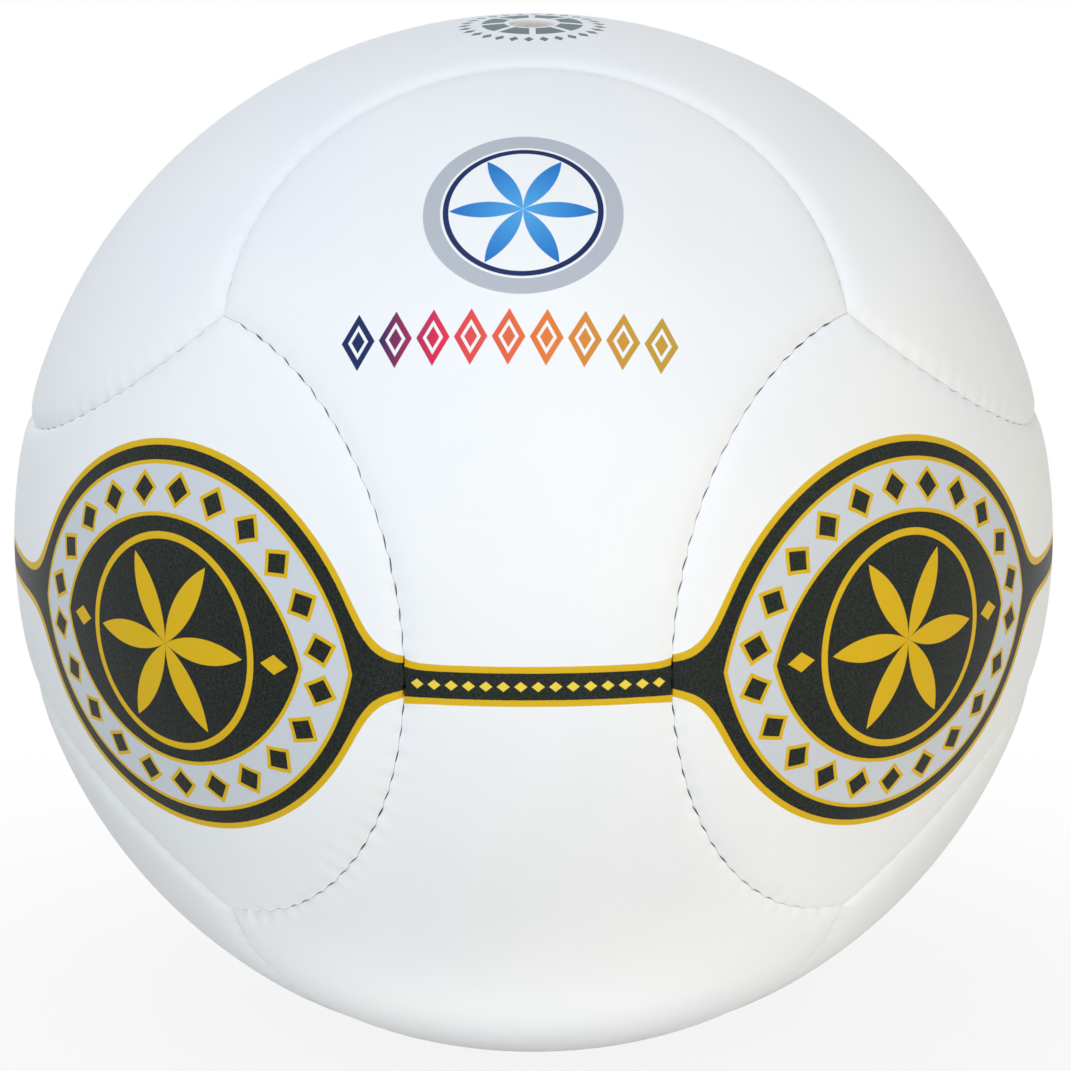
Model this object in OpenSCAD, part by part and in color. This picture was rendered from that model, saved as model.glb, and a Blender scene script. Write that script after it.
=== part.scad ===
// Hand-sewn fistball of six equal panels over a bladder with a needle valve.
// Millimetres. The ball centre is the origin, the valve points along +Z and the front panel faces -Y.
//
// Every seam is an arc of a circle drawn on the ball, and its sewn faces lie on a sphere that crosses
// the ball squarely along that circle. A panel bulges into its neighbour at two ends and gives way at
// its two sides, and the same panel turned about the ball makes all six.

/* [Ball] */

// Diameter over the panel faces
ball_d = 212; // [200:1:220]
// Angle from a panel's centre to the middle of its hollow side
panel_waist = 14; // [12:0.5:18]

/* [Panels] */

// Thickness of the outer skin
skin_t = 1.2; // [0.9:0.1:1.6]
// Thickness of the laminated lining
lining_t = 1.2; // [0.8:0.1:1.6]
// Bond line between the skin and its lining
bond_gap = 0.1; // [0.05:0.01:0.2]

/* [Seams] */

// Gap between two skins that are sewn face to face
seam_gap = 0.2; // [0.1:0.05:0.4]
// Radius of the rolled lip on each side of a seam
lip_r = 1.8; // [1.4:0.1:2.2]
// Width left between the turned-in skin and the edge of its lining
lining_setback = 0.3; // [0.2:0.05:0.6]
// Thickness of the sewing thread
thread_d = 0.8; // [0.6:0.1:1.0]
// Distance from one needle hole to the next
stitch_pitch = 4.6; // [4:0.2:6]
// Room between the lining and the thread
thread_gap = 0.2; // [0.1:0.05:0.4]
// Turned-in skin left below the thread
seam_allowance = 0.6; // [0.4:0.1:1.2]
// Length at each end of a seam that is left without stitches
corner_free = 4; // [3.5:0.5:6]

/* [Bladder] */

// Wall of the bladder
bladder_t = 0.9; // [0.6:0.1:1.4]
// Room between the turned-in skins and the bladder
bladder_gap = 0.2; // [0.15:0.05:0.4]
// Thickness of the two patches bonded to the bladder
patch_t = 0.8; // [0.6:0.1:1.0]
// Diameter of the patch around the valve
valve_patch_d = 30; // [26:1:34]
// Diameter of the balance patch opposite the valve
balance_patch_d = 36; // [30:1:40]

/* [Valve] */

// Diameter of the needle passage
needle_d = 2; // [1.6:0.1:2.4]
// Depth of the needle passage below the face of the core
needle_depth = 11; // [9:0.5:12]
// Diameter of the lead-in at the mouth of the passage
lead_in_d = 3.4; // [2.8:0.1:4]
// Diameter of the core's stem
stem_d = 5; // [4.4:0.1:5.4]
// Length of the core from its face to its tip
core_len = 15; // [14:0.5:18]
// Diameter of the core's head
head_d = 6.4; // [6:0.1:7]
// Thickness of the core's head
head_t = 1.2; // [0.8:0.1:1.6]
// Radial clearance of the core in its housing
core_fit = 0.05; // [0.03:0.01:0.1]
// Wall of the housing around the core's head
housing_wall = 1; // [0.8:0.1:1.4]
// Depth of the valve face below the top of the ball
valve_recess = 0.7; // [0.5:0.1:1.2]
// Diameter of the flange that bonds the housing to the bladder
flange_d = 20; // [16:1:24]
// Thickness of that flange at its rim
flange_t = 1.4; // [1:0.1:2]
// Length of the neck left below the flange
neck_boss = 1; // [0.5:0.1:2]
// Radial room around the housing's neck in the panel, the patch and the bladder
neck_gap = 0.3; // [0.2:0.05:0.5]

/* [Hidden] */

// Sides of a circle, of a large ball and of the thread, which is eight-sided to keep the stitches light
$fn = 96;
ball_fn = 192;
thread_fn = 8;

// Radii of the layers
r_ball = ball_d / 2;
r_skin_in = r_ball - skin_t;
r_lining = r_skin_in - bond_gap;
r_lining_in = r_lining - lining_t;
r_thread = r_lining_in - thread_gap - thread_d / 2;
r_turn_in = r_thread - thread_d / 2 - seam_allowance;
r_bladder = r_turn_in - bladder_gap;
r_bladder_in = r_bladder - bladder_t;

// The seam circle goes through the waist point and the two corners where three panels meet.
corner = 1 / sqrt(3);
axis_tilt = atan((cos(panel_waist) - corner) / (corner - sin(panel_waist)));
seam_angle = axis_tilt - panel_waist;
seam_sweep = asin(corner / sin(seam_angle));

// The seam sphere, which holds the sewn faces and crosses the ball squarely at the seam circle
seam_sphere_r = r_ball * tan(seam_angle);
seam_sphere_up = r_ball / cos(seam_angle);

// Distances from the seam sphere to the edges of the layers and to the thread
turn_in_edge = seam_gap / 2 + skin_t;
lining_edge = turn_in_edge + lining_setback;
strand_off = turn_in_edge + thread_d / 2;
cross_d = 0.8 * thread_d;

// Where the thread runs on the seam sphere, and how many needle holes fit along it
thread_angle = acos(cos(seam_angle) * (pow(r_thread, 2) + pow(r_ball, 2)) / (2 * r_thread * r_ball));
thread_r = r_thread * sin(thread_angle);
stitch_span = seam_sweep - corner_free / thread_r * 180 / PI;
stitch_count = floor(2 * stitch_span / 180 * PI * thread_r / stitch_pitch);

// The lip circle stands a little past the ball and the sewn face, so that it never grazes them.
lip_rise = 0.02 * lip_r;
lip_run = 0.06 * lip_r;

// Angle by which a groove runs past the corners, and length by which a cut runs past a face
corner_overrun = 1.4;
cut_past = 1;

// Heights and radii of the valve
core_top = r_ball - valve_recess;
core_tip = core_top - core_len;
seat_r = head_d / 2 + core_fit;
bore_r = stem_d / 2 + core_fit;
neck_r = seat_r + housing_wall;
neck_hole_r = neck_r + neck_gap;
barrel_r = bore_r + housing_wall;
flange_top = r_bladder_in - bond_gap;
flange_low = sqrt(pow(flange_top, 2) - pow(flange_d / 2, 2)) - flange_t;
tip_chamfer = 0.8;

// Turns the top panel, or anything drawn on it, to where another panel sits.
module at_panel(side) {
    if (side == "top") children();
    if (side == "bottom") rotate([180, 0, 0]) children();
    if (side == "right") rotate(a = 120, v = [1, 1, 1]) children();
    if (side == "left") rotate([0, 0, 180]) rotate(a = 120, v = [1, 1, 1]) children();
    if (side == "back") rotate(a = 240, v = [1, 1, 1]) children();
    if (side == "front") rotate([0, 0, 180]) rotate(a = 240, v = [1, 1, 1]) children();
}

// Stands Z on the axis of the seam at a bulging end of the top panel, with the seam's middle at +X.
module at_end_seam(end) {
    rotate([0, 0, end > 0 ? 0 : 180]) rotate([0, 90 - axis_tilt, 0]) children();
}

// Stands Z on the axis of the seam at a hollow side of the top panel, with the seam's middle at +X.
module at_side_seam(side) {
    rotate([0, 0, side > 0 ? 90 : -90]) rotate([0, axis_tilt, 0]) rotate([0, 0, 180]) children();
}

// Ball whose face is the sewn face of a seam, made larger by a distance
module seam_ball(grow) {
    translate([0, 0, seam_sphere_up]) sphere(r = seam_sphere_r + grow, $fn = ball_fn);
}

// Everything over the top panel out to its seams, drawn in from them by a distance.
// The block fills the waist between the two end balls, and its own walls lie inside them.
module panel_sector(inset) {
    block_low = 0.4 * r_ball;
    block_size = [0.7 * r_ball, 2 * r_ball, 0.8 * r_ball];
    difference() {
        union() {
            translate([-block_size.x / 2, -block_size.y / 2, block_low]) cube(block_size);
            for (end = [-1, 1]) at_end_seam(end) seam_ball(-inset);
        }
        for (side = [-1, 1]) at_side_seam(side) seam_ball(inset);
    }
}

// Groove along one seam, which leaves both lips rolled over
module seam_groove() {
    half = lip_r + seam_gap / 2 - lip_run;
    drop = lip_r - lip_rise;
    sweep = seam_sweep + corner_overrun;
    rotate([0, 0, -sweep]) rotate_extrude(angle = 2 * sweep)
        rotate(-seam_angle) translate([0, r_ball])
            difference() {
                translate([-half, -drop]) square([2 * half, drop + cut_past]);
                for (side = [-1, 1]) translate([side * half, -drop]) circle(r = lip_r);
            }
}

// Skin of the top panel out to its sewn faces, hollowed to leave its edges turned in
module flat_edged_skin() {
    difference() {
        intersection() {
            sphere(r = r_ball, $fn = ball_fn);
            panel_sector(seam_gap / 2);
        }
        sphere(r = r_turn_in, $fn = ball_fn);
        intersection() {
            sphere(r = r_skin_in, $fn = ball_fn);
            panel_sector(turn_in_edge);
        }
    }
}

// Skin of the top panel, with its lips rolled over at the seams
module skin() {
    difference() {
        difference() {
            flat_edged_skin();
            for (end = [-1, 1]) at_end_seam(end) seam_groove();
        }
        for (side = [-1, 1]) at_side_seam(side) seam_groove();
    }
}

// Lining of the top panel, which stops short of the turned-in edges
module lining() {
    difference() {
        intersection() {
            sphere(r = r_lining, $fn = ball_fn);
            panel_sector(lining_edge);
        }
        sphere(r = r_lining_in, $fn = ball_fn);
    }
}

// Hole for the valve's neck in any layer at the top of the ball
module neck_hole() {
    translate([0, 0, 0.9 * r_ball]) cylinder(h = 0.2 * r_ball, r = neck_hole_r);
}

module panel(side) {
    color([0.95, 0.96, 0.97]) difference() {
        at_panel(side) skin();
        if (side == "top") neck_hole();
    }
}

module panel_lining(side) {
    color([0.86, 0.83, 0.76]) difference() {
        at_panel(side) lining();
        if (side == "top") neck_hole();
    }
}

// One strand of thread along a seam, at a distance to one side of it
module thread_strand(off) {
    rotate([0, 0, -stitch_span]) rotate_extrude(angle = 2 * stitch_span)
        rotate(-thread_angle) translate([off, r_thread]) circle(d = thread_d, $fn = thread_fn);
}

// Thread through one needle hole, from strand to strand
module thread_crossing(angle) {
    rotate([0, 0, angle]) rotate([0, thread_angle, 0]) translate([0, 0, r_thread])
        rotate([0, 90, 0]) cylinder(h = 2 * strand_off, d = cross_d, center = true, $fn = thread_fn);
}

// Waxed thread of one seam: a strand on each side of the turned-in skins, crossing at each hole
module seam_thread(side, end) {
    color([0.78, 0.78, 0.77]) at_panel(side) at_end_seam(end) {
        for (strand = [-1, 1]) thread_strand(strand * strand_off);
        for (hole = [0.5 : stitch_count - 0.5])
            thread_crossing((2 * hole / stitch_count - 1) * stitch_span);
    }
}

module bladder() {
    color([0.80, 0.70, 0.52]) difference() {
        sphere(r = r_bladder, $fn = ball_fn);
        sphere(r = r_bladder_in, $fn = ball_fn);
        neck_hole();
    }
}

// Round patch that follows the outside of the bladder, at the top of the ball
module bladder_patch(d) {
    difference() {
        intersection() {
            sphere(r = r_bladder + bond_gap + patch_t, $fn = ball_fn);
            cylinder(h = 2 * r_ball, d = d);
        }
        sphere(r = r_bladder + bond_gap, $fn = ball_fn);
    }
}

module valve_patch() {
    color([0.25, 0.25, 0.26]) difference() {
        bladder_patch(valve_patch_d);
        neck_hole();
    }
}

module balance_patch() {
    color([0.25, 0.25, 0.26]) rotate([180, 0, 0]) bladder_patch(balance_patch_d);
}

// Rubber housing: a neck through the panel, a flange inside the bladder and a barrel for the core
module valve_housing() {
    neck_low = flange_low - neck_boss;
    color([0.16, 0.16, 0.17]) difference() {
        union() {
            translate([0, 0, neck_low]) cylinder(h = core_top - neck_low, r = neck_r);
            translate([0, 0, core_tip]) cylinder(h = core_len - head_t, r = barrel_r);
            intersection() {
                sphere(r = flange_top, $fn = ball_fn);
                translate([0, 0, flange_low]) cylinder(h = 2 * flange_t, d = flange_d);
            }
        }
        translate([0, 0, core_tip - cut_past]) cylinder(h = core_len + 2 * cut_past, r = bore_r);
        translate([0, 0, core_top - head_t]) cylinder(h = head_t + cut_past, r = seat_r);
    }
}

// Soft core that closes the valve: a headed plug with a blind passage for the pump needle
module valve_core() {
    lead_in = (lead_in_d - needle_d) / 2;
    stem_low = core_tip + tip_chamfer;
    color([0.55, 0.50, 0.47]) difference() {
        union() {
            translate([0, 0, core_top - head_t]) cylinder(h = head_t, d = head_d);
            translate([0, 0, stem_low]) cylinder(h = core_top - head_t / 2 - stem_low, d = stem_d);
            translate([0, 0, core_tip])
                cylinder(h = tip_chamfer, d1 = stem_d - 2 * tip_chamfer, d2 = stem_d);
        }
        translate([0, 0, core_top - needle_depth]) cylinder(h = needle_depth + cut_past, d = needle_d);
        translate([0, 0, core_top - lead_in])
            cylinder(h = 2 * lead_in, d1 = needle_d, d2 = needle_d + 4 * lead_in);
    }
}

panel("top");  // panel_top
panel("bottom");  // panel_bottom
panel("front");  // panel_front
panel("back");  // panel_back
panel("left");  // panel_left
panel("right");  // panel_right
panel_lining("top");  // lining_top
panel_lining("bottom");  // lining_bottom
panel_lining("front");  // lining_front
panel_lining("back");  // lining_back
panel_lining("left");  // lining_left
panel_lining("right");  // lining_right
seam_thread("front", 1);  // seam_front_top
seam_thread("front", -1);  // seam_front_bottom
seam_thread("left", 1);  // seam_front_left
seam_thread("right", -1);  // seam_front_right
seam_thread("back", 1);  // seam_back_top
seam_thread("back", -1);  // seam_back_bottom
seam_thread("left", -1);  // seam_back_left
seam_thread("right", 1);  // seam_back_right
seam_thread("top", -1);  // seam_top_left
seam_thread("top", 1);  // seam_top_right
seam_thread("bottom", -1);  // seam_bottom_left
seam_thread("bottom", 1);  // seam_bottom_right
bladder();
valve_patch();
balance_patch();
valve_housing();
valve_core();
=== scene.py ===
import math

import bmesh
import bpy
import numpy as np
from mathutils import Matrix, Vector
from mathutils.geometry import delaunay_2d_cdt

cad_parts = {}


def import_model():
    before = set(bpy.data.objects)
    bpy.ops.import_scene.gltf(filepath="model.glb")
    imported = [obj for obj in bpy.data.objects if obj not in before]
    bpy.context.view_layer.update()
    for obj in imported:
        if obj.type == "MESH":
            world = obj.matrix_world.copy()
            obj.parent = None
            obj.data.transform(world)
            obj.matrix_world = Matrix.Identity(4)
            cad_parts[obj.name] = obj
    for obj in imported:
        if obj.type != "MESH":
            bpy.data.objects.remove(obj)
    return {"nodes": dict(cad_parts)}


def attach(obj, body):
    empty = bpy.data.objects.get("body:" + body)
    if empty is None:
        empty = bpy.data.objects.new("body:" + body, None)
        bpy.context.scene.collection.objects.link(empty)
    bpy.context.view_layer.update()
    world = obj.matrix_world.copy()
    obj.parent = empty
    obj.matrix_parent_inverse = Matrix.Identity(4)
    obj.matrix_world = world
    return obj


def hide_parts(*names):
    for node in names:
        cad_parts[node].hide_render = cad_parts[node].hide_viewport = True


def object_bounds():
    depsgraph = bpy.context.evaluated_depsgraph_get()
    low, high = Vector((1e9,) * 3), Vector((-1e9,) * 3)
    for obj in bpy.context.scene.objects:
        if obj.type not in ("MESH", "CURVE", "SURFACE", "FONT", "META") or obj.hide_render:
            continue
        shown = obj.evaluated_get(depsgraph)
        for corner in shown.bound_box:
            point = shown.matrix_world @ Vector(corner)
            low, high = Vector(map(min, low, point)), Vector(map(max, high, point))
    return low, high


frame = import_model()
CAD_BOX = [list(corner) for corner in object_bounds()]
MM = 0.001

# Sizes of the ball in millimetres, as in the solids
R = (CAD_BOX[1][0] - CAD_BOX[0][0]) / 2 / MM
SKIN_IN = R - 1.2
TURN_IN = R - 4.1
FLANGE = 1.3
HALF_GAP = 0.1
HOLE_R = 4.55
HOLE_RIM = 8.0
WAIST = math.radians(14)
CORNER = 1 / math.sqrt(3)
TILT = math.atan((math.cos(WAIST) - CORNER) / (CORNER - math.sin(WAIST)))
SEAM_ANGLE = TILT - WAIST
SEAM_SWEEP = math.asin(CORNER / math.sin(SEAM_ANGLE))
SEAM_BALL_R = R * math.tan(SEAM_ANGLE)
SEAM_BALL_UP = R / math.cos(SEAM_ANGLE)
SEAM_CIRCLE_R = R * math.sin(SEAM_ANGLE)
STITCHES = 36
STITCH_SPAN = math.radians(79.8)
STITCH_PITCH = 2 * STITCH_SPAN * SEAM_CIRCLE_R / STITCHES

# The soft valley along a seam, the rolled edges that it falls to, the crease of the deeper seams, which
# begins at a share of the valley and is whole a range above it, and the tight lip at the bottom
VALLEY_DEPTH, VALLEY_WIDTH = 0.5, 9.5
ROLL_DEPTH, ROLL_WIDTH = 1.0, 3.8
CREASE_DEPTH, CREASE_WIDTH = 0.5, 1.3
CREASE_FROM, CREASE_RANGE = 0.8, 0.4
LIP_R = 0.1
SURFACE_GAP = 0.02
WALL = R - TURN_IN - VALLEY_DEPTH - ROLL_DEPTH - LIP_R

# Points along one seam in the fine, middle and coarse rings of a panel, and round its valve hole
FINE, MIDDLE, COARSE = 720, 360, 90
HOLE_POINTS = 96

# Rings down a panel's wall, of which the ones below a depth are middle rings, and rings across its skin
WALL_ROWS, WALL_MIDDLE = (2.2, 1.3, 0.8, 0.45, 0.2, 0.07), 2
FINE_ROWS = (0.0, 0.02, 0.05, 0.1, 0.2, 0.42, 0.8)
MIDDLE_ROWS = (1.3, 1.9, 2.7, 3.7, 4.9, 6.3, 7.8)
INSIDE_ROW = 4.0

# The valve hole's rounded edge, as distances outside the hole and drops, and the rings inside the skin
HOLE_EDGE = ((2.2, 0), (1.2, 0), (0.5, 0), (0.25, 0.04), (0.09, 0.14), (0, 0.34))
HOLE_INSIDE = (2.2, 1.2)

# The points that fill a panel: their spacing, the half-width, half-height and polar angle of the field
# that they are cut from, how far they stay from its edges, and the share of the radius to either side of
# the panel's middle where no end seam bounds them
SPACING = 2.4
FIELD_WIDE, FIELD_HIGH = 160.0, 150.0
FIELD_POLAR = 1.45
FILL_CLEAR = 0.6 * SPACING
END_SHARE = 0.35

# The texture layout, as the height of a panel and the middles of its outside and its inside, and the
# angle from which an edge is sharp
LAYOUT_HEIGHT = 0.46
LAYOUT_SHOWN, LAYOUT_HIDDEN = (0.5, 0.25), (0.5, 0.75)
SHARP_EDGE = math.radians(55)

PANEL_TURN = {
    "top": np.eye(3),
    "bottom": np.diag([1.0, -1.0, -1.0]),
    "right": np.array([[0.0, 0, 1], [1, 0, 0], [0, 1, 0]]),
    "left": np.diag([-1.0, -1.0, 1.0]) @ np.array([[0.0, 0, 1], [1, 0, 0], [0, 1, 0]]),
    "back": np.array([[0.0, 1, 0], [0, 0, 1], [1, 0, 0]]),
    "front": np.diag([-1.0, -1.0, 1.0]) @ np.array([[0.0, 1, 0], [0, 0, 1], [1, 0, 0]]),
}
PANEL_OUT = {
    "top": (0, 0, 1), "bottom": (0, 0, -1), "right": (1, 0, 0),
    "left": (-1, 0, 0), "back": (0, 1, 0), "front": (0, -1, 0),
}

# How far the slits of each seam stand open at its start, middle and end, which way they slant on
# either half, how much either half puckers, and how deep its valley is
SEWING = {
    ("left", "front"): ((0.2, 1.0, 1.0), (1, 1), (2.2, 0.8), 0.8),
    ("right", "front"): ((1.0, 1.0, 0.2), (1, -1), (0.8, 2.2), 0.8),
    ("left", "back"): ((1.0, 0.9, 0.3), (-1, -1), (0.9, 2.0), 0.8),
    ("right", "back"): ((0.3, 0.9, 1.0), (-1, 1), (2.0, 0.9), 0.8),
    ("front", "top"): ((1.4, 0.3, 1.4), (1, 1), (0.9, 0.9), 1.0),
    ("front", "bottom"): ((1.5, 0.4, 1.3), (-1, -1), (1.6, 1.6), 1.2),
    ("back", "top"): ((1.2, 0.3, 1.2), (-1, -1), (1.0, 1.0), 1.0),
    ("back", "bottom"): ((1.2, 0.4, 1.2), (1, 1), (1.6, 1.6), 1.2),
    ("top", "left"): ((0.6, 0.4, 0.8), (1, 1), (1.8, 1.4), 1.0),
    ("top", "right"): ((0.6, 0.4, 0.8), (-1, -1), (1.4, 1.8), 1.0),
    ("bottom", "left"): ((0.8, 0.4, 0.6), (-1, -1), (1.6, 1.6), 1.2),
    ("bottom", "right"): ((0.8, 0.4, 0.6), (1, 1), (1.6, 1.6), 1.2),
}

# What each stitch draws: how far it strays along the seam, and the ranges of its slit's length, half-width
# and slope and of the pucker beside it
STITCH_STRAY = 0.2
SLIT_LENGTH, SLIT_WIDTH, SLIT_SLOPE = (2.3, 3.3), (0.07, 0.15), (0.05, 0.16)
PUCKER = (0.05, 0.1)

# Places along a seam, from -1 to 1: where the slits open, where the slant and the pucker pass from one
# half's value to the other's, and where the pucker grows towards the ends, with its shares there
OPEN_AT = (-0.97, -0.8, 0.8, 1.2)
SLANT_TURN, PUCKER_TURN = (-0.1, 0.1), (-0.4, 0.4)
PUCKER_AT, PUCKER_SHARE = (0.3, 0.9), (0.6, 1.0)

# Distances from a corner over which the stitches begin, and over which a valley takes its own depth from
# the share that all have at the corners. Slow waves vary the depth along the seam
STITCH_CLEAR, DEPTH_CLEAR = (1.5, 4.5), (2.0, 24.0)
CORNER_SHARE = 1.05
WAVE_SHARE, WAVE_LENGTHS = 0.03, (9.0, 15.0, 23.0)

# How blunt a slit's ends are, how far the skin dips into it, and the distances over which the slit, the
# dip, the pucker and the slit's slant die away across the skin and down the wall
SLIT_BLUNT, SLIT_DIP = 0.7, 0.5
SLIT_FADE, DIP_FADE, PUCKER_FADE, SLANT_FADE = 0.9, 0.7, 3.6, 1.4
WALL_SLIT_FADE, WALL_SLANT_FADE = 0.8, 1.5

# Depths between which the gap of two panels opens out, and the seed of the first seam
GAP_OPENS = (0.4, 2.0)
FIRST_SEED = 100


def smoothstep(x, low, high):
    t = np.clip((x - low) / (high - low), 0, 1)
    return t * t * (3 - 2 * t)


class Side:
    """One side of the top panel: its seam axis, the seam's own frame, and which side of the seam it is."""

    def __init__(self, axis, middle, sign):
        self.axis = np.array(axis)
        self.e1 = np.array(middle)
        self.e2 = np.cross(self.axis, self.e1)
        self.sign = sign

    def angle(self, direction):
        return math.atan2(direction @ self.e2, direction @ self.e1)

    def point(self, phi, off, r):
        """Point at an angle along the seam, a distance off the seam ball, on the sphere of radius r."""
        cos = (r * r + SEAM_BALL_UP ** 2 - (SEAM_BALL_R + off) ** 2) / (2 * r * SEAM_BALL_UP)
        sin = np.sqrt(1 - cos * cos)
        round_axis = np.outer(np.cos(phi), self.e1) + np.outer(np.sin(phi), self.e2)
        return (r * cos)[:, None] * self.axis + (r * sin)[:, None] * round_axis


CB, SB = math.cos(TILT), math.sin(TILT)
SIDES = [
    Side((CB, 0, SB), (SB, 0, -CB), -1),
    Side((0, SB, CB), (0, -CB, SB), 1),
    Side((-CB, 0, SB), (-SB, 0, -CB), -1),
    Side((0, -SB, CB), (0, CB, SB), 1),
]


class Stitching:
    """The stitches of one seam, with the small differences that hand sewing leaves."""

    def __init__(self, seed, openness, slants, puckering, depth):
        rng = np.random.default_rng(seed)
        place = (np.arange(STITCHES) + 0.5) / STITCHES * 2 - 1
        self.at = place * STITCH_SPAN * SEAM_CIRCLE_R + rng.normal(0, STITCH_STRAY, STITCHES)
        self.length = rng.uniform(*SLIT_LENGTH, STITCHES)
        stands_open = np.interp(place, OPEN_AT, np.array(openness)[[0, 1, 1, 2]])
        self.width = stands_open * rng.uniform(*SLIT_WIDTH, STITCHES)
        self.slope = np.interp(place, SLANT_TURN, slants) * rng.uniform(*SLIT_SLOPE, STITCHES)
        towards_ends = np.interp(np.abs(place), PUCKER_AT, PUCKER_SHARE)
        self.pucker = towards_ends * rng.uniform(*PUCKER, STITCHES)
        self.pucker *= np.interp(place, PUCKER_TURN, puckering)
        self.wave = rng.uniform(0, 2 * math.pi, len(WAVE_LENGTHS))
        self.depth = depth

    def fields(self, phi):
        """Slit half-width, shift of the seam line, pucker and valley share at angles along the seam."""
        arc = phi * SEAM_CIRCLE_R
        near = np.abs(arc[:, None] - self.at[None, :]).argmin(1)
        u = arc - self.at[near]
        half = self.length[near] / 2
        to_corner = SEAM_SWEEP * SEAM_CIRCLE_R - np.abs(arc)
        clear = smoothstep(to_corner, *STITCH_CLEAR)
        slit = self.width[near] * np.clip(1 - (u / half) ** 2, 0, 1) ** SLIT_BLUNT * clear
        back = half * np.clip(STITCH_PITCH / 2 - np.abs(u), 0, None) / (STITCH_PITCH / 2 - half)
        shift = self.slope[near] * np.sign(u) * np.minimum(np.abs(u), back) * clear
        pucker = self.pucker[near] * np.cos(2 * math.pi * u / STITCH_PITCH) * clear
        slow = sum(np.sin(arc / length + w) for length, w in zip(WAVE_LENGTHS, self.wave))
        own = self.depth - CORNER_SHARE + WAVE_SHARE * slow
        share = CORNER_SHARE + own * smoothstep(to_corner, *DEPTH_CLEAR)
        return slit, shift, pucker, share


def seam_key(panel, side):
    """The owner and the neighbour of a seam, from where its axis points."""
    axis = PANEL_TURN[panel] @ side.axis
    reach = {name: axis @ np.array(out) for name, out in PANEL_OUT.items()}
    return tuple(sorted(reach, key=reach.get, reverse=True)[:2])


STITCHING = {
    key: Stitching(FIRST_SEED + index, *SEWING[key]) for index, key in enumerate(sorted(SEWING))
}


def valley(s, share=1.0):
    """Depth at a distance from the seam. The deeper seams have a crease as well."""
    broad = VALLEY_DEPTH * np.clip(1 - s / VALLEY_WIDTH, 0, 1) ** 2
    rolled = ROLL_DEPTH * np.clip(1 - s / ROLL_WIDTH, 0, 1) ** 2
    crease = CREASE_DEPTH * np.clip(1 - s / CREASE_WIDTH, 0, 1) ** 2
    return (broad + rolled) * share + crease * np.clip((share - CREASE_FROM) / CREASE_RANGE, 0, 1)


def lip(s):
    into = np.clip(LIP_R - s, 0, LIP_R)
    return LIP_R - np.sqrt(LIP_R ** 2 - into ** 2)


def corner_directions(off, r):
    """The four corners of the top panel at a distance in from its seams, on the sphere of radius r."""
    def cos_at(grow):
        return (r * r + SEAM_BALL_UP ** 2 - (SEAM_BALL_R + grow) ** 2) / (2 * r * SEAM_BALL_UP)

    found = []
    for end, flank, x, y in ((0, 3, 1, -1), (0, 1, 1, 1), (2, 1, -1, 1), (2, 3, -1, -1)):
        a, b = SIDES[end].axis, SIDES[flank].axis
        dot = a @ b
        ca, cb = cos_at(-off), cos_at(off)
        p = (ca - dot * cb) / (1 - dot * dot)
        q = (cb - dot * ca) / (1 - dot * dot)
        cross = np.cross(a, b)
        rest = math.sqrt((1 - p * p - q * q - 2 * p * q * dot) / (cross @ cross))
        options = [p * a + q * b + k * rest * cross for k in (-1, 1)]
        found.append(max(options, key=lambda n: n @ np.array([x, y, 1.0])))
    return found


def panel_ring(panel, count, off, r, shape):
    """One closed ring of points round a panel. shape turns the stitch fields of a side into its rows."""
    corners = corner_directions(off, r)
    parts = []
    for k, side in enumerate(SIDES):
        start, end = side.angle(corners[k]), side.angle(corners[(k + 1) % 4])
        phi = start + (end - start) * np.arange(count) / count
        row_off, shift, row_r = shape(*STITCHING[seam_key(panel, side)].fields(phi))
        parts.append(side.point(phi, side.sign * row_off + shift, row_r))
    return np.concatenate(parts)


def outer_ring(panel, count, s):
    def shape(slit, shift, pucker, share):
        row_off = s + SURFACE_GAP + slit * math.exp(-(s / SLIT_FADE) ** 2)
        drop = valley(s, share) + lip(s) + pucker * math.exp(-s / PUCKER_FADE)
        drop = drop + SLIT_DIP * slit * math.exp(-s / DIP_FADE)
        return row_off, shift * math.exp(-s / SLANT_FADE), R - drop

    return panel_ring(panel, count, s + SURFACE_GAP, R - valley(s) - lip(s), shape)


def wall_ring(panel, count, depth):
    gap = SURFACE_GAP + (HALF_GAP - SURFACE_GAP) * smoothstep(depth, *GAP_OPENS)

    def shape(slit, shift, pucker, share):
        row_off = gap + slit * math.exp(-(depth / WALL_SLIT_FADE) ** 2)
        top = R - valley(0, share) - LIP_R - pucker - SLIT_DIP * slit
        slant = shift * math.exp(-depth / WALL_SLANT_FADE)
        return row_off, slant, top - (top - TURN_IN) * depth / WALL

    return panel_ring(panel, count, gap, TURN_IN + WALL - depth, shape)


def plain_ring(panel, count, off, r):
    def shape(slit, shift, pucker, share):
        return np.full(len(slit), off), np.zeros(len(slit)), np.full(len(slit), r)

    return panel_ring(panel, count, off, r, shape)


def flat(points, extra=None):
    """Points laid flat round the top panel's middle, pushed out along the ball by an extra distance."""
    n = points / np.linalg.norm(points, axis=1)[:, None]
    polar = np.arccos(np.clip(n[:, 2], -1, 1)) * R
    around = np.arctan2(n[:, 1], n[:, 0])
    if extra is not None:
        polar = polar + extra
    return np.stack([polar * np.cos(around), polar * np.sin(around)], 1)


def in_panel(points, inset):
    """Whether points on the ball lie in the top panel, at least a distance in from its seams."""
    off = [np.linalg.norm(points - k.axis * SEAM_BALL_UP, axis=1) - SEAM_BALL_R for k in SIDES]
    ends = (off[0] < -inset) | (off[2] < -inset) | (np.abs(points[:, 0]) < END_SHARE * R)
    return ends & (off[1] > inset) & (off[3] > inset) & (points[:, 2] > 0)


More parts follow.
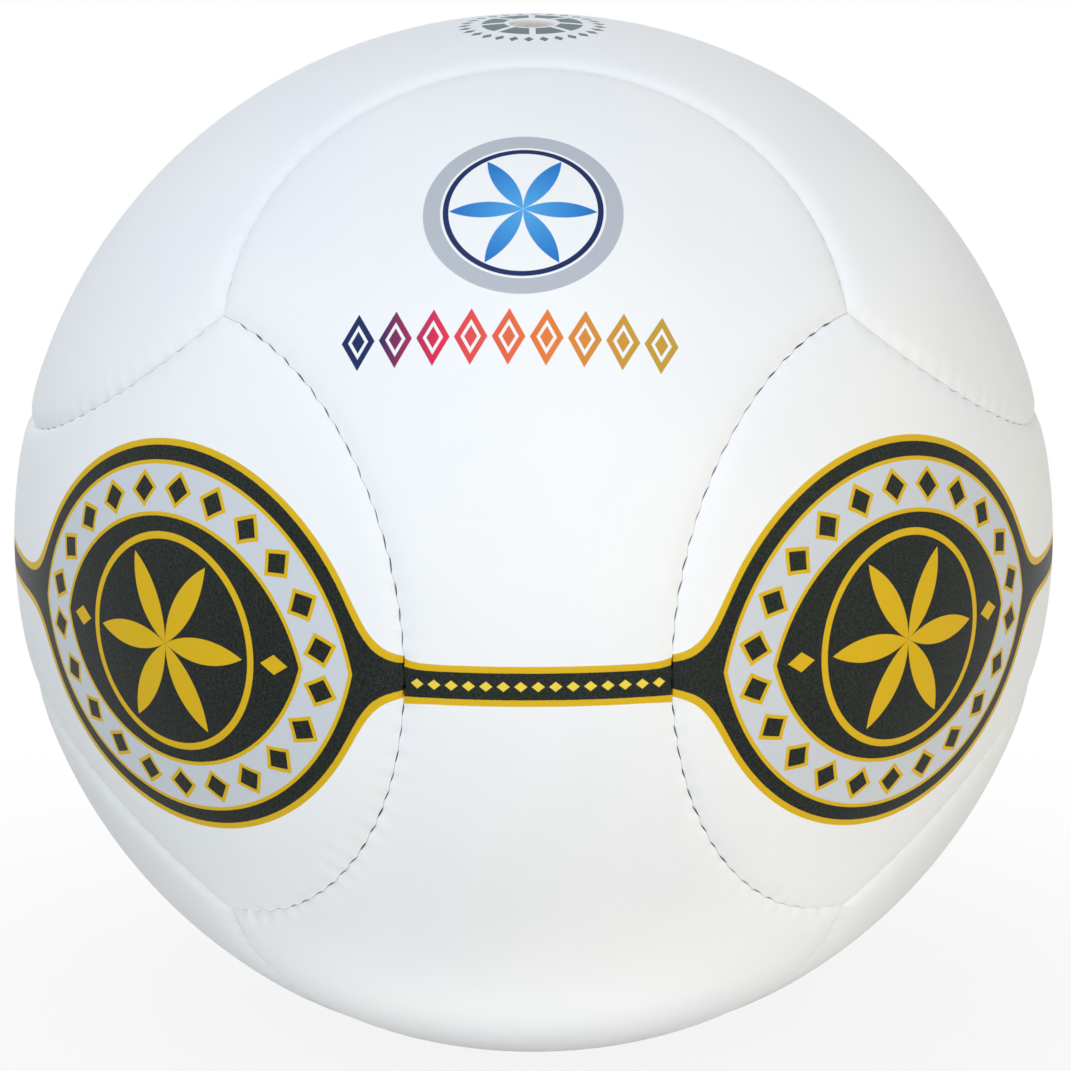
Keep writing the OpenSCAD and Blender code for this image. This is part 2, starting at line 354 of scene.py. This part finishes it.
class PanelMesh:
    """Points, faces and two texture layouts of one panel, as they are made in the top panel's place."""

    def __init__(self):
        self.points, self.outer_uv, self.inner_uv, self.depths = [], [], [], []
        self.faces, self.inside = [], []
        self.total = 0

    def add(self, points, extra=0.0, depth=0.0):
        """Adds points at a depth below the lip, laid out an extra distance from the panel's middle."""
        index = np.arange(self.total, self.total + len(points))
        self.total += len(points)
        self.points.append(points)
        laid = flat(points, np.full(len(points), extra))
        self.outer_uv.append(laid)
        self.inner_uv.append(laid)
        self.depths.append(np.full(len(points), depth))
        return index

    def face(self, corners, inside, flip=False):
        self.faces.append(tuple(int(c) for c in (corners[::-1] if inside != flip else corners)))
        self.inside.append(inside)

    def band(self, outer, inner, inside=False):
        """Faces between two rings. Either may have several times the points of the other."""
        more, fewer = (outer, inner) if len(outer) >= len(inner) else (inner, outer)
        flip = more is inner
        ratio, few, total = len(more) // len(fewer), len(fewer), len(more)
        half = ratio // 2
        for j in range(few):
            a, b = fewer[j], fewer[(j + 1) % few]
            ring = [more[(j * ratio + i) % total] for i in range(ratio + 1)]
            if ratio == 1:
                self.face((ring[0], ring[1], b, a), inside, flip)
                continue
            for i in range(ratio):
                self.face((ring[i], ring[i + 1], a if i < half else b), inside, flip)
            self.face((ring[half], b, a), inside, flip)

    def fill(self, ring, r, inset, hole=None, inside=False):
        """Fills a ring with even points on the sphere of radius r, and leaves a hole's ring open."""
        columns = np.arange(-FIELD_WIDE, FIELD_WIDE, SPACING)
        rows = np.arange(-FIELD_HIGH, FIELD_HIGH, SPACING * math.sqrt(3) / 2)
        spots = np.array([(x + SPACING / 2 * (k % 2), y) for k, y in enumerate(rows) for x in columns])
        polar, around = np.hypot(*spots.T) / R, np.arctan2(spots[:, 1], spots[:, 0])
        unit = np.stack([np.sin(polar) * np.cos(around), np.sin(polar) * np.sin(around), np.cos(polar)], 1)
        keep = in_panel(unit * R, inset + FILL_CLEAR) & (polar < FIELD_POLAR)
        if hole is not None:
            keep &= polar * R > HOLE_RIM + FILL_CLEAR
        known = np.concatenate(self.points)
        loops = [ring] if hole is None else [ring, hole]
        index = np.concatenate(loops + [self.add(unit[keep] * r)])
        corners = flat(np.concatenate([known[loop] for loop in loops] + [unit[keep] * r]))
        edges, start = [], 0
        for loop in loops:
            edges += [(start + i, start + (i + 1) % len(loop)) for i in range(len(loop))]
            start += len(loop)
        _, _, faces, origin, _, _ = delaunay_2d_cdt([Vector(c) for c in corners], edges, [], 1, 1e-7)
        for face in faces:
            used = [origin[v][0] for v in face]
            if hole is not None and all(len(ring) <= v < start for v in used):
                continue
            self.face([index[v] for v in used], inside)


def circle_at_top(count, radius, r):
    """Circle of a radius about the panel's middle, on the sphere of radius r."""
    around = 2 * math.pi * np.arange(count) / count
    height = np.full(count, math.sqrt(r * r - radius * radius))
    return np.stack([radius * np.cos(around), radius * np.sin(around), height], 1)


def valve_hole(mesh, outer, inner):
    """Closes the top panel from the rings round its valve hole, with a rounded edge and a wall."""
    for wide, drop in HOLE_EDGE:
        ring = mesh.add(circle_at_top(len(outer), HOLE_R + wide, R - drop))
        mesh.band(outer, ring)
        outer = ring
    edge_drop = HOLE_EDGE[-1][1]
    low = mesh.add(circle_at_top(len(outer), HOLE_R, SKIN_IN), extra=SKIN_IN - R + edge_drop)
    mesh.band(outer, low)
    for wide in HOLE_INSIDE:
        ring = mesh.add(circle_at_top(len(inner), HOLE_R + wide, SKIN_IN))
        mesh.band(inner, ring, True)
        inner = ring
    mesh.band(inner, low, True)


def panel_mesh(panel):
    mesh = PanelMesh()
    bottom = mesh.add(plain_ring(panel, MIDDLE, HALF_GAP, TURN_IN), WALL, WALL)
    last = bottom
    for depth in WALL_ROWS:
        ring = mesh.add(wall_ring(panel, MIDDLE if depth > WALL_MIDDLE else FINE, depth), depth, depth)
        mesh.band(last, ring)
        last = ring
    for s in FINE_ROWS:
        ring = mesh.add(outer_ring(panel, FINE, s))
        mesh.band(last, ring)
        last = ring
    for s in MIDDLE_ROWS:
        ring = mesh.add(outer_ring(panel, MIDDLE, s))
        mesh.band(last, ring)
        last = ring
    ring = mesh.add(outer_ring(panel, COARSE, VALLEY_WIDTH))
    mesh.band(last, ring)
    rims = [None, None]
    if panel == "top":
        rims = [mesh.add(circle_at_top(HOLE_POINTS, HOLE_RIM, r)) for r in (R, SKIN_IN)]
    mesh.fill(ring, R, VALLEY_WIDTH, rims[0])
    # The turned-in edge and the inside, from the bottom of the wall inwards
    under = mesh.add(plain_ring(panel, MIDDLE, FLANGE, TURN_IN), SKIN_IN - TURN_IN, WALL)
    mesh.inner_uv[0] = flat(mesh.points[0], np.full(len(bottom), SKIN_IN - TURN_IN + FLANGE - HALF_GAP))
    mesh.band(bottom, under, True)
    inner = mesh.add(plain_ring(panel, MIDDLE, FLANGE, SKIN_IN), depth=WALL)
    mesh.band(under, inner, True)
    ring = mesh.add(plain_ring(panel, COARSE, INSIDE_ROW, SKIN_IN), depth=WALL)
    mesh.band(inner, ring, True)
    mesh.fill(ring, SKIN_IN, INSIDE_ROW, rims[1], True)
    if panel == "top":
        valve_hole(mesh, *rims)
    return mesh


def panel_object(panel, material):
    made = panel_mesh(panel)
    points = np.concatenate(made.points) @ PANEL_TURN[panel].T * MM
    data = bpy.data.meshes.new("skin_" + panel)
    data.from_pydata(points.tolist(), [], made.faces)
    outer, inner = np.concatenate(made.outer_uv), np.concatenate(made.inner_uv)
    scale = LAYOUT_HEIGHT / (np.abs(outer[:, 1]).max() * 2)
    layout = data.uv_layers.new(name="OFBake")
    vertex = np.zeros(len(data.loops), int)
    data.loops.foreach_get("vertex_index", vertex)
    inside = np.repeat(np.array(made.inside), [len(f) for f in made.faces])[:, None]
    shown = outer[vertex] * scale + np.array(LAYOUT_SHOWN)
    hidden = inner[vertex] * scale * np.array([-1, 1]) + np.array(LAYOUT_HIDDEN)
    layout.data.foreach_set("uv", np.where(inside, hidden, shown).astype(np.float32).ravel())
    below = data.attributes.new("below_lip", "FLOAT", "POINT")
    below.data.foreach_set("value", np.concatenate(made.depths).astype(np.float32))
    data.materials.append(material)
    data.polygons.foreach_set("use_smooth", np.ones(len(data.polygons), bool))
    data.set_sharp_from_angle(angle=SHARP_EDGE)
    data.validate()
    piece = bpy.data.objects.new("skin_" + panel, data)
    bpy.context.scene.collection.objects.link(piece)
    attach(piece, "ball")
    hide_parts("panel_" + panel)


def colour(r, g, b):
    """An sRGB colour, 0 to 255, as the linear values that a shader takes."""
    def channel(c):
        c = c / 255
        return c / 12.92 if c <= 0.04045 else ((c + 0.055) / 1.055) ** 2.4

    return (channel(r), channel(g), channel(b), 1.0)


class Num:
    """A number in a shader that plain arithmetic works on."""

    def __init__(self, tree, socket):
        self.tree, self.socket = tree, socket

    def math(self, operation, *others):
        node = self.tree.nodes.new("ShaderNodeMath")
        node.operation = operation
        for place, value in zip(node.inputs, (self, *others)):
            if isinstance(value, Num):
                self.tree.links.new(value.socket, place)
            else:
                place.default_value = value
        return Num(self.tree, node.outputs[0])

    def __add__(self, other):
        return self.math("ADD", other)

    def __sub__(self, other):
        return self.math("SUBTRACT", other)

    def __mul__(self, other):
        return self.math("MULTIPLY", other)

    def __truediv__(self, other):
        return self.math("DIVIDE", other)

    def __abs__(self):
        return self.math("ABSOLUTE")

    def __neg__(self):
        return self * -1.0

    def min(self, other):
        return self.math("MINIMUM", other)

    def max(self, other):
        return self.math("MAXIMUM", other)

    def inside(self, soft=0.07):
        """1 where this distance is below zero and 0 where it is above, with a narrow soft edge."""
        node = self.tree.nodes.new("ShaderNodeMapRange")
        node.interpolation_type = "SMOOTHSTEP"
        self.tree.links.new(self.socket, node.inputs["Value"])
        for name, value in (("From Min", soft), ("From Max", -soft), ("To Min", 0.0), ("To Max", 1.0)):
            node.inputs[name].default_value = value
        return Num(self.tree, node.outputs["Result"])

    def band(self, low, high):
        """1 where this distance lies between two values."""
        return (abs(self - (low + high) / 2) - (high - low) / 2).inside()


class Shader:
    """A material's node tree, with the few calls that the materials here share."""

    def __init__(self, name):
        self.material = bpy.data.materials.new(name)
        self.material.use_nodes = True
        self.tree = self.material.node_tree
        self.bsdf = self.tree.nodes["Principled BSDF"]
        where = self.tree.nodes.new("ShaderNodeTexCoord")
        scale = self.tree.nodes.new("ShaderNodeVectorMath")
        scale.operation = "SCALE"
        scale.inputs["Scale"].default_value = 1 / MM
        self.tree.links.new(where.outputs["Object"], scale.inputs[0])
        self.place = scale.outputs[0]

    def vector(self, operation, *inputs):
        node = self.tree.nodes.new("ShaderNodeVectorMath")
        node.operation = operation
        for place, value in zip(node.inputs, inputs):
            if hasattr(value, "is_linked"):
                self.tree.links.new(value, place)
            else:
                place.default_value = value
        return node

    def dot(self, a, b):
        return Num(self.tree, self.vector("DOT_PRODUCT", a, b).outputs["Value"])

    def parts(self, vector):
        node = self.tree.nodes.new("ShaderNodeSeparateXYZ")
        self.tree.links.new(vector, node.inputs[0])
        return [Num(self.tree, out) for out in node.outputs]

    def noise(self, scale, detail=3.0, rough=0.5):
        node = self.tree.nodes.new("ShaderNodeTexNoise")
        self.tree.links.new(self.place, node.inputs["Vector"])
        node.inputs["Scale"].default_value = scale
        node.inputs["Detail"].default_value = detail
        node.inputs["Roughness"].default_value = rough
        return Num(self.tree, node.outputs["Fac"])

    def ramp(self, value, *stops):
        node = self.tree.nodes.new("ShaderNodeValToRGB")
        self.tree.links.new(value.socket, node.inputs[0])
        elements = node.color_ramp.elements
        while len(elements) < len(stops):
            elements.new(0.5)
        for element, (at, shade) in zip(elements, stops):
            element.position = at
            element.color = shade
        return node.outputs["Color"]

    def mix(self, factor, a, b):
        """Colour a where factor is 0 and colour b where it is 1."""
        node = self.tree.nodes.new("ShaderNodeMix")
        node.data_type = "RGBA"
        self.tree.links.new(factor.socket, node.inputs[0])
        for place, value in ((node.inputs[6], a), (node.inputs[7], b)):
            if hasattr(value, "is_linked"):
                self.tree.links.new(value, place)
            else:
                place.default_value = value
        return node.outputs[2]

    def bump(self, height, distance):
        node = self.tree.nodes.new("ShaderNodeBump")
        node.inputs["Distance"].default_value = distance
        node.inputs["Strength"].default_value = 1.0
        self.tree.links.new(height.socket, node.inputs["Height"])
        self.tree.links.new(node.outputs[0], self.bsdf.inputs["Normal"])

    def set(self, name, value):
        if isinstance(value, Num):
            self.tree.links.new(value.socket, self.bsdf.inputs[name])
        elif hasattr(value, "is_linked"):
            self.tree.links.new(value, self.bsdf.inputs[name])
        else:
            self.bsdf.inputs[name].default_value = value


GOLD = colour(220, 180, 26)
BLACK, WORN_BLACK = colour(7, 13, 10), colour(44, 51, 46)
SILVER = colour(206, 212, 219)
BLUE, LIGHT_BLUE = colour(30, 112, 196), colour(84, 170, 232)
NAVY = colour(24, 42, 92)
GREY = colour(184, 189, 199)
RING = colour(98, 120, 120)
YELLOW = colour(238, 212, 74)
RED = colour(226, 44, 84)
ORANGE = colour(233, 128, 58)
OCHRE = colour(198, 158, 62)
LEATHER = (colour(240, 243, 246), colour(245, 247, 248))
# Painted shade: the grey of the seam walls below the lip, which darkens the gaps between panels
PAINTED_GAP_SHADE = colour(172, 172, 174)

# The rosette's and the lozenge row's places on the front panel, as azimuth and latitude, and the cosine
# that bounds the side of the ball where they are
ROSETTE_AT, ROW_AT = (-2.0, 51.0), (-3.5, 35.8)
NEAR_SIDE = 0.7


def petals(x, y, size):
    """Distance to a rosette of six petals, each from the middle to the rim."""
    r = (x * x + y * y).math("SQRT")
    turn = y.math("ARCTAN2", x) + math.pi / 6 + 4 * math.pi
    turn = abs(turn.math("MODULO", math.pi / 3) - math.pi / 6)
    px, py = r * turn.math("COSINE"), r * turn.math("SINE")
    dx, dy = px - size * 0.5, py + size * math.sqrt(3) / 2
    return (dx * dx + dy * dy).math("SQRT") - size, r


def lozenge(x, y, wide, high):
    """Distance to a lozenge of two half-widths."""
    return (abs(x) / wide + abs(y) / high - 1.0) * (wide * high / math.hypot(wide, high))


def spaced(value, step, turns):
    """Distance past the nearest of many places a step apart. The turns keep the sum above zero."""
    return (value + (turns + 0.5) * step).math("MODULO", step) - step / 2


def skin_material():
    sh = Shader("skin")
    unit = sh.vector("NORMALIZE", sh.place).outputs[0]
    x, y, z = sh.parts(unit)
    paint = sh.noise(2.2, 3.0, 0.6)
    bleed = (sh.noise(2.2, 2.0) - 0.5) * 0.12

    # White leather, which passes to grey just below the lip: painted shade down the cut edges in the gaps
    # between panels
    blotch = sh.noise(0.025, 3.0)
    base = sh.ramp(blotch, (0.3, LEATHER[0]), (0.7, LEATHER[1]))
    edge = sh.tree.nodes.new("ShaderNodeAttribute")
    edge.attribute_name = "below_lip"
    below = Num(sh.tree, edge.outputs["Fac"])
    gap_shade_from, gap_shade_soft = 0.2, 0.16
    base = sh.mix((below * -1.0 + gap_shade_from).inside(gap_shade_soft), base, PAINTED_GAP_SHADE)

    def on_panel(azimuth, latitude):
        """Millimetres east and north of a point on the ball, and 1 on the side of the ball where it is."""
        a, l = math.radians(azimuth), math.radians(latitude)
        east = (math.cos(a), math.sin(a), 0)
        north = (-math.sin(a) * math.sin(l), math.cos(a) * math.sin(l), math.cos(l))
        out = (math.sin(a) * math.cos(l), -math.cos(a) * math.cos(l), math.sin(l))
        near = (sh.dot(unit, out) - NEAR_SIDE).math("GREATER_THAN", 0.0)
        return sh.dot(unit, east) * R, sh.dot(unit, north) * R, near

    # Belt round the ball, printed on each panel before sewing, so it steps a little at the seams
    front = (abs(x) - math.sin(WAIST)).math("LESS_THAN", 0.0)
    drop, front_drop, half, front_more = 0.003, 0.008, 3.6, 0.35
    level = z + drop + front * front_drop
    height = level.math("ARCSINE") * R
    belt = abs(height) - half - front * front_more

    # Four pointed medallions on the belt, each the overlap of two caps, that flow into it
    along, cap, reach = math.radians(42.5), math.radians(4.5), math.radians(25.8)
    flow, outline, bead_row = 15.0, 1.3, 9.6
    sa, ca = math.sin(along), math.cos(along)
    folded = sh.tree.nodes.new("ShaderNodeCombineXYZ")
    for value, place in zip((abs(x), abs(y), abs(level)), folded.inputs):
        sh.tree.links.new(value.socket, place)
    fold = folded.outputs[0]
    axis = (sa * math.cos(cap), ca * math.cos(cap), -math.sin(cap))
    lens = (sh.dot(fold, axis).math("ARCCOSINE") - reach) * R
    across = sh.dot(fold, (ca, -sa, 0))
    upward = sh.dot(fold, (sa * math.sin(cap), ca * math.sin(cap), math.cos(cap)))
    round_lens = across.math("ARCTAN2", upward) * (R * math.sin(reach - bead_row / R))
    shape = belt.math("SMOOTH_MIN", lens, flow) + bleed

    ink = shape.inside()
    col = sh.mix(ink, base, GOLD)
    dark = sh.ramp(paint, (0.35, BLACK), (0.72, WORN_BLACK))
    col = sh.mix((shape + outline).inside(), col, dark)

    # A silver band between gold lines goes round in each, with a row of beads that stops short of its points
    band_gold, band_silver = (-15.0, -4.2), (-14.2, -5.0)
    step, beads, bead_wide, bead_high, bead_line = 9.3, 5.45, 3.6, 3.7, 0.75
    ring = lens + bleed
    col = sh.mix(ring.band(*band_gold), col, GOLD)
    col = sh.mix(ring.band(*band_silver), col, SILVER)
    beside = spaced(round_lens, step, 200)
    in_row = (abs(round_lens) - beads * step).inside()
    bead = lozenge(beside, lens + bead_row, bead_wide, bead_high)
    col = sh.mix(bead.inside() * in_row, col, GOLD)
    col = sh.mix((bead + bead_line).inside() * in_row, col, dark)

    # A rosette in a ring fills its middle, with a lozenge on either side
    rosette_r, rosette_ring, side_at, side_wide, side_high = 19.0, (20.2, 21.6), 26.0, 2.9, 2.0
    mx, my = across * R, abs(level) * R
    petal, from_middle = petals(mx, my, rosette_r)
    in_lens = (lens - band_gold[0]).math("LESS_THAN", 0.0)
    gold = petal.inside().max(from_middle.band(*rosette_ring))
    gold = gold.max(lozenge(abs(mx) - side_at, my, side_wide, side_high).inside())
    col = sh.mix(gold * in_lens, col, GOLD)

    # Row of small beads along the belt, between the two seams in front
    space, half_count, small_wide, small_high = 3.3, 7.5, 1.25, 1.0
    walk = x.math("ARCTAN2", -y) * R
    beside = spaced(walk, space, 60)
    small = lozenge(beside, height, small_wide, small_high).max(abs(walk) - half_count * space)
    col = sh.mix(small.inside() * y.math("LESS_THAN", 0.0), col, YELLOW)

    # Rosette high on the front panel, in two rings
    petal_r, ring_navy, ring_grey = 14.2, (14.3, 15.4), (15.9, 19.2)
    ex, ey, near = on_panel(*ROSETTE_AT)
    petal, from_middle = petals(ex, ey, petal_r)
    col = sh.mix(from_middle.band(*ring_grey) * near, col, GREY)
    col = sh.mix(from_middle.band(*ring_navy) * near, col, NAVY)
    blue = sh.mix((from_middle / petal_r).min(1.0), LIGHT_BLUE, BLUE)
    col = sh.mix(petal.inside() * near, col, blue)
    ink = ink.max((from_middle - ring_grey[1]).inside() * near)

    # Row of lozenges below it, from navy to ochre
    gap, count, wide, high, line, core = 7.2, 9.0, 3.2, 5.8, 1.1, 1.7
    fx, fy, near = on_panel(*ROW_AT)
    beside = spaced(fx, gap, 100)
    row = lozenge(beside, fy, wide, high).max(abs(fx) - count / 2 * gap)
    share = fx / (count * gap) + 0.5
    shades = sh.ramp(share, (0.12, NAVY), (0.3, RED), (0.62, ORANGE), (0.88, OCHRE))
    col = sh.mix(row.inside() * near, col, shades)
    col = sh.mix((row + line).inside() * near, col, base)
    col = sh.mix((row + core).inside() * near, col, shades)

    # Segmented ring round the valve, and a circle of small lozenges
    segment_from, segment_to, spoke_half = 5.6, 10.2, 0.65
    tick_r, tick_wide, tick_high = 13.6, 1.0, 1.5
    polar = z.math("ARCCOSINE") * R
    eighth = math.pi / 4
    turn = y.math("ARCTAN2", x) + 4 * math.pi + eighth / 2
    spoke = abs(turn.math("MODULO", eighth) - eighth / 2) * polar
    segment = polar.band(segment_from, segment_to) * (spoke * -1.0 + spoke_half).inside()
    ticks = math.pi / 14
    beside = (turn.math("MODULO", ticks) - ticks / 2) * polar
    tick = lozenge(beside, polar - tick_r, tick_wide, tick_high).inside()
    segment = segment.max(tick) * z.math("GREATER_THAN", 0.0)
    col = sh.mix(segment, col, RING)
    ink = ink.max(segment)

    sh.set("Base Color", col)
    grain = sh.noise(1.6, 3.0, 0.55)
    sh.set("Roughness", grain * 0.12 + 0.44 - ink * 0.06)
    sh.set("Specular IOR Level", 0.13)
    sh.bump(grain, 0.00002)
    return sh.material


def plain_material(name, shades, roughness, grain, depth):
    """A material of one stuff: two shades of it, a roughness and a grain of some depth."""
    sh = Shader(name)
    fleck = sh.noise(grain, 4.0, 0.6)
    sh.set("Base Color", sh.ramp(fleck, (0.3, shades[0]), (0.7, shades[1])))
    sh.set("Roughness", fleck * 0.2 + roughness)
    sh.bump(fleck, depth)
    return sh.material


def woven_material(name, shades, pitch):
    """Cloth: two sets of yarns that cross at a pitch, over and under."""
    sh = Shader(name)
    px, py, pz = sh.parts(sh.place)
    turn = 2 * math.pi / pitch
    over = ((px + pz) * turn).math("SINE") * ((py - pz) * turn).math("SINE")
    height = over * 0.5 + 0.5
    fleck = sh.noise(1.5, 4.0)
    sh.set("Base Color", sh.ramp(height * 0.7 + fleck * 0.3, (0.25, shades[0]), (0.75, shades[1])))
    sh.set("Roughness", fleck * 0.15 + 0.75)
    sh.bump(height, 0.0001)
    return sh.material


def twisted_material(name, shades):
    """Waxed thread: fine strands that wind round it."""
    sh = Shader(name)
    px, py, pz = sh.parts(sh.place)
    strand = ((px + py + pz) * 9.0).math("SINE") * 0.5 + 0.5
    fleck = sh.noise(3.0, 3.0)
    sh.set("Base Color", sh.ramp(strand * 0.6 + fleck * 0.4, (0.2, shades[0]), (0.8, shades[1])))
    sh.set("Roughness", fleck * 0.2 + 0.45)
    sh.bump(strand, 0.00005)
    return sh.material


skin = skin_material()
for side_name in PANEL_TURN:
    panel_object(side_name, skin)

# Materials of the solids that are shown as they are, by how their names start
INSIDE = {
    "lining": woven_material("lining", (colour(196, 189, 172), colour(232, 226, 210)), 1.1),
    "seam": twisted_material("thread", (colour(176, 176, 173), colour(222, 222, 218))),
    "bladder": plain_material(
        "latex", (colour(196, 168, 118), colour(222, 198, 150)), roughness=0.42, grain=0.08, depth=0.00005),
    "valve_patch": plain_material(
        "patch", (colour(44, 44, 46), colour(66, 66, 68)), roughness=0.6, grain=0.8, depth=0.00004),
    "valve_housing": plain_material(
        "housing", (colour(206, 204, 200), colour(220, 218, 214)), roughness=0.5, grain=1.2, depth=0.00002),
    "valve_core": plain_material(
        "core", (colour(190, 184, 176), colour(206, 200, 192)), roughness=0.48, grain=1.4, depth=0.00002),
}
INSIDE["balance_patch"] = INSIDE["valve_patch"]
for name, node in frame["nodes"].items():
    stuff = next((m for start, m in INSIDE.items() if name.startswith(start)), None)
    if stuff is not None:
        node.data.materials.clear()
        node.data.materials.append(stuff)


# The even light, the floor's shades, its radius in metres, the distance in millimetres at which it turns
# to plain white, and how white it is shown below the ball
AMBIENT = (0.47, 0.465, 0.46, 1)
FLOOR_SHADES = (colour(187, 187, 186), colour(193, 193, 193))
FLOOR_R, FLOOR_FADE, FLOOR_WHITE = 4.0, 150.0, 0.88

# Azimuth and elevation in degrees, distance, width and height in metres, watts and tint of each lamp
LAMPS = {
    "key": (-18, 44, 1.6, (1.0, 1.0), 1.9, (1.0, 0.88, 0.85)),
    "high": (-35, 60, 1.6, (1.0, 1.0), 8.7, (0.71, 0.82, 0.97)),
    "front": (2, 3, 1.6, (1.0, 0.16), 3.4, (1.0, 1.0, 1.0)),
    "side": (62, 14, 1.4, (0.8, 0.8), 3.4, (1.0, 0.97, 0.76)),
    "side_left": (-70, 12, 1.4, (0.8, 0.8), 1.9, (0.78, 0.92, 0.97)),
    "card": (0, -14, 0.36, (0.4, 0.03), 0.12, (0.97, 1.0, 0.96)),
    "card_right": (45, -14, 0.36, (0.3, 0.03), 0.07, (1.0, 0.72, 0.56)),
    "card_foot": (0, -49, 0.138, (0.2, 0.004), 0.013, (1.0, 0.97, 0.92)),
}

# The view in degrees, its distance in radii of the ball, and in pixels the picture's side and the ball's
# radius and middle
VIEW_AZIMUTH, VIEW_ELEVATION, VIEW_ROLL = -0.43, 15.32, 0.17
VIEW_FAR = 12.0
PICTURE = 1071.0
BALL_PX, MIDDLE_X, MIDDLE_Y = 519.3, 533.6, 532.5
SENSOR = 36.0


def seen_plainly(tree):
    """1 for the rays that show the background itself, and 0 for those that only carry light."""
    path = tree.nodes.new("ShaderNodeLightPath")
    straight, mirrored, through = [
        Num(tree, path.outputs[name]) for name in ("Is Camera Ray", "Is Glossy Ray", "Is Transmission Ray")
    ]
    return straight.max(mirrored).max(through)


def world():
    """Even light from all round, and plain white behind."""
    made = bpy.data.worlds.new("studio")
    made.use_nodes = True
    bpy.context.scene.world = made
    tree = made.node_tree
    ambient = tree.nodes["Background"]
    ambient.inputs["Color"].default_value = AMBIENT
    ambient.inputs["Strength"].default_value = 1.0
    white = tree.nodes.new("ShaderNodeBackground")
    white.inputs["Color"].default_value = (1, 1, 1, 1)
    white.inputs["Strength"].default_value = 1.0
    mix = tree.nodes.new("ShaderNodeMixShader")
    tree.links.new(seen_plainly(tree).socket, mix.inputs[0])
    tree.links.new(ambient.outputs[0], mix.inputs[1])
    tree.links.new(white.outputs[0], mix.inputs[2])
    tree.links.new(mix.outputs[0], tree.nodes["World Output"].inputs["Surface"])


def floor():
    """Pale floor that the ball stands on. It turns to plain white away from the ball."""
    sh = Shader("floor")
    fleck = sh.noise(0.05, 2.0)
    sh.set("Base Color", sh.ramp(fleck, (0.3, FLOOR_SHADES[0]), (0.7, FLOOR_SHADES[1])))
    sh.set("Roughness", 0.9)
    sh.set("Specular IOR Level", 0.1)
    glow = sh.tree.nodes.new("ShaderNodeEmission")
    glow.inputs["Color"].default_value = (1, 1, 1, 1)
    px, py, _ = sh.parts(sh.place)
    away = (px * px + py * py).math("SQRT")
    far = (away * -1.0 + FLOOR_FADE).inside(FLOOR_FADE * 0.6)
    share = seen_plainly(sh.tree) * (far * (1 - FLOOR_WHITE) + FLOOR_WHITE)
    mix = sh.tree.nodes.new("ShaderNodeMixShader")
    sh.tree.links.new(share.socket, mix.inputs[0])
    sh.tree.links.new(sh.bsdf.outputs[0], mix.inputs[1])
    sh.tree.links.new(glow.outputs[0], mix.inputs[2])
    sh.tree.links.new(mix.outputs[0], sh.tree.nodes["Material Output"].inputs["Surface"])
    build = bmesh.new()
    bmesh.ops.create_circle(build, cap_ends=True, segments=96, radius=FLOOR_R)
    data = bpy.data.meshes.new("floor")
    build.to_mesh(data)
    build.free()
    data.materials.append(sh.material)
    plane = bpy.data.objects.new("floor", data)
    plane.location.z = -R * MM
    bpy.context.scene.collection.objects.link(plane)


def lamp(name, azimuth, elevation, distance, size, power, tint):
    """Soft lamp of a width and a height that looks at the ball."""
    light = bpy.data.lights.new(name, "AREA")
    light.shape = "RECTANGLE"
    light.size, light.size_y = size
    light.energy = power
    light.color = tint
    a, e = math.radians(azimuth), math.radians(elevation)
    place = Vector((math.sin(a) * math.cos(e), -math.cos(a) * math.cos(e), math.sin(e))) * distance
    piece = bpy.data.objects.new(name, light)
    piece.location = place
    piece.rotation_euler = place.to_track_quat("Z", "Y").to_euler()
    piece.visible_camera = False
    bpy.context.scene.collection.objects.link(piece)


def camera(azimuth, elevation, roll, distance, focal_px, centre_x, centre_y):
    """Camera that looks at the ball's middle, which falls on a pixel of the square picture."""
    a, e = math.radians(azimuth), math.radians(elevation)
    back = Vector((math.sin(a) * math.cos(e), -math.cos(a) * math.cos(e), math.sin(e)))
    right = Vector((math.cos(a), math.sin(a), 0))
    turn = Matrix((right, back.cross(right), back)).transposed()
    data = bpy.data.cameras.new("camera")
    data.sensor_fit = "HORIZONTAL"
    data.sensor_width = SENSOR
    data.lens = focal_px / PICTURE * SENSOR
    data.shift_x = (PICTURE / 2 - centre_x) / PICTURE
    data.shift_y = (centre_y - PICTURE / 2) / PICTURE
    data.clip_start, data.clip_end = 0.05, 50.0
    piece = bpy.data.objects.new("camera", data)
    spin = Matrix.Rotation(math.radians(-roll), 3, "Z")
    piece.matrix_world = Matrix.Translation(back * distance) @ (turn @ spin).to_4x4()
    bpy.context.scene.collection.objects.link(piece)
    bpy.context.scene.camera = piece


world()
floor()
for lamp_name, setting in LAMPS.items():
    lamp(lamp_name, *setting)
focal = BALL_PX * math.sqrt(VIEW_FAR * VIEW_FAR - 1)
camera(VIEW_AZIMUTH, VIEW_ELEVATION, VIEW_ROLL, VIEW_FAR * R * MM, focal, MIDDLE_X, MIDDLE_Y)

bpy.context.scene.view_settings.view_transform = "Standard"
